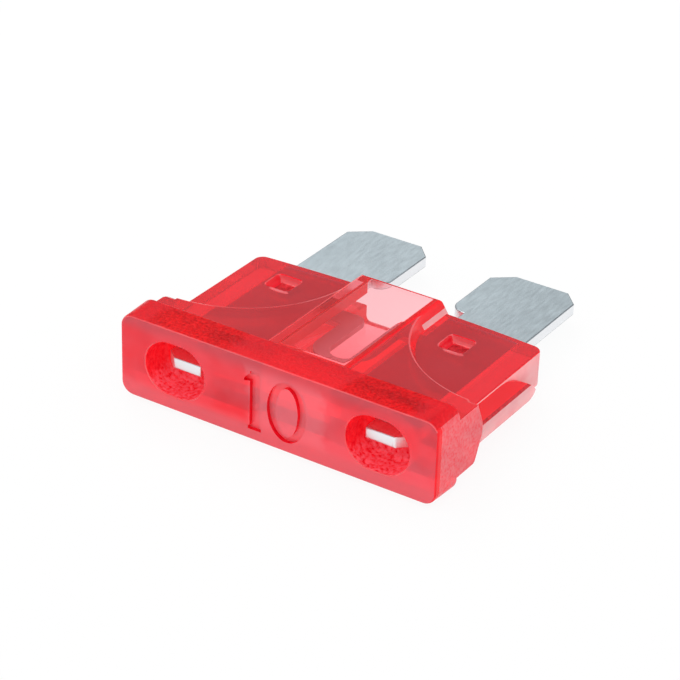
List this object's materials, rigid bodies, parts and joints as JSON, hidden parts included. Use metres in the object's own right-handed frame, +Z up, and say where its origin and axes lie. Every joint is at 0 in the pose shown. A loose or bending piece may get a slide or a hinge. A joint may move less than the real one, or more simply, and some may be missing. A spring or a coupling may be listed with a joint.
{
  "type": "automotive blade fuse",
  "caption": "Plug-in blade fuse for a vehicle: clear red moulded body with a raised window over the melting link, test pits in its head, and flat zinc blades.",
  "frame": {"origin": "middle of the bounding box in X and Y, on the surface that the head lies on", "axes": "+X along the head, +Y from the head to the blade tips, +Z up out of the flat face, with the fuse lying flat"},
  "size_m": [0.019, 0.0188, 0.0048],
  "materials": {
    "clear_red_plastic": "clear tinted plastic, polished on the flat faces and finely textured on the head's sides and ends",
    "zinc_strip": "matte stamped zinc with a faint grain along the blades"
  },
  "bodies": {
    "root": {"housing": "clear_red_plastic", "fuse_element": "zinc_strip"}
  },
  "joints": []
}
